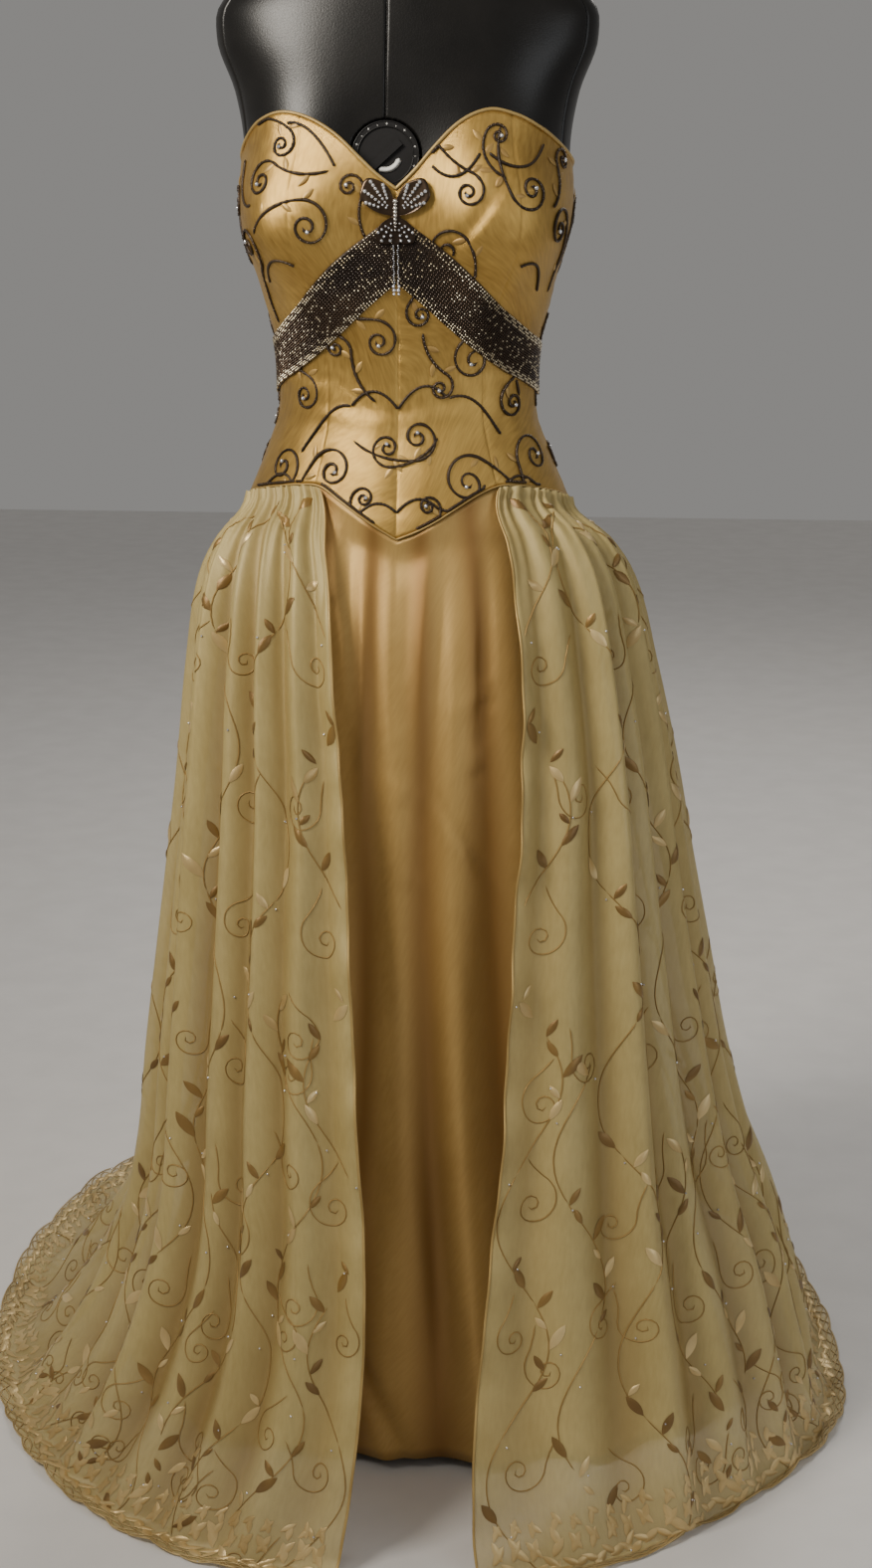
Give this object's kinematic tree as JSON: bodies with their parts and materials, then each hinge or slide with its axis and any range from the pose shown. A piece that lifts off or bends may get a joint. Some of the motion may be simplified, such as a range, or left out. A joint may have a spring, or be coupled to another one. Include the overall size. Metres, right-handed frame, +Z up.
{
  "type": "strapless gown on dress form",
  "caption": "Strapless gown with a beaded, pointed bodice, a satin skirt and a split, gathered sheer overskirt with a train, on a limbless dress form with a stand.",
  "frame": {"origin": "on the floor, at the middle of the stand's hub, under the pole's axis", "axes": "+Z up, the gown's front faces -Y, +X is the wearer's left"},
  "size_m": [0.9709, 1.1741, 1.5723],
  "materials": {
    "bodice_satin": "champagne gold satin",
    "skirt_satin": "warm gold satin",
    "organza": "sheer pale gold organza",
    "beadwork": "dark bronze beads sewn on cloth",
    "rhinestones": "silver-toned setting with clear stones",
    "form_vinyl": "glossy black vinyl",
    "dial_plastic": "black plastic",
    "stand_metal": "black paint",
    "zip_metal": "polished",
    "zip_tape": "woven tape"
  },
  "bodies": {
    "gown_and_form": {"bodice_centre_front_left": "bodice_satin", "bodice_side_front_left": "bodice_satin", "bodice_side_back_left": "bodice_satin", "bodice_back_left": "bodice_satin", "bodice_centre_front_right": "bodice_satin", "bodice_side_front_right": "bodice_satin", "bodice_side_back_right": "bodice_satin", "bodice_back_right": "bodice_satin", "beaded_band_left": "beadwork", "beaded_band_right": "beadwork", "zip_tape": "zip_tape", "zip_slider": "zip_metal", "skirt_front": "skirt_satin", "skirt_back_left": "skirt_satin", "skirt_back_right": "skirt_satin", "overskirt_left": "organza", "overskirt_right": "organza", "butterfly_wings": "rhinestones", "butterfly_body": "rhinestones", "butterfly_strand_left": "rhinestones", "butterfly_strand_right": "rhinestones", "form_torso": "form_vinyl", "form_neck_cap": "form_vinyl", "form_dial_ring": "dial_plastic", "form_dial_knob": "dial_plastic", "stand_pole": "stand_metal", "stand_hub": "stand_metal", "stand_leg_1": "stand_metal", "stand_leg_2": "stand_metal", "stand_leg_3": "stand_metal", "stand_leg_4": "stand_metal"},
    "zip_pull": {"zip_pull": "zip_metal"}
  },
  "joints": [
    {"name": "zip_pull_hinge", "type": "hinge", "parent": "gown_and_form", "child": "zip_pull", "pos_m": [0, 0.09972, 1.249], "axis": [1, 0, 0], "range_deg": [0, 150]}
  ]
}
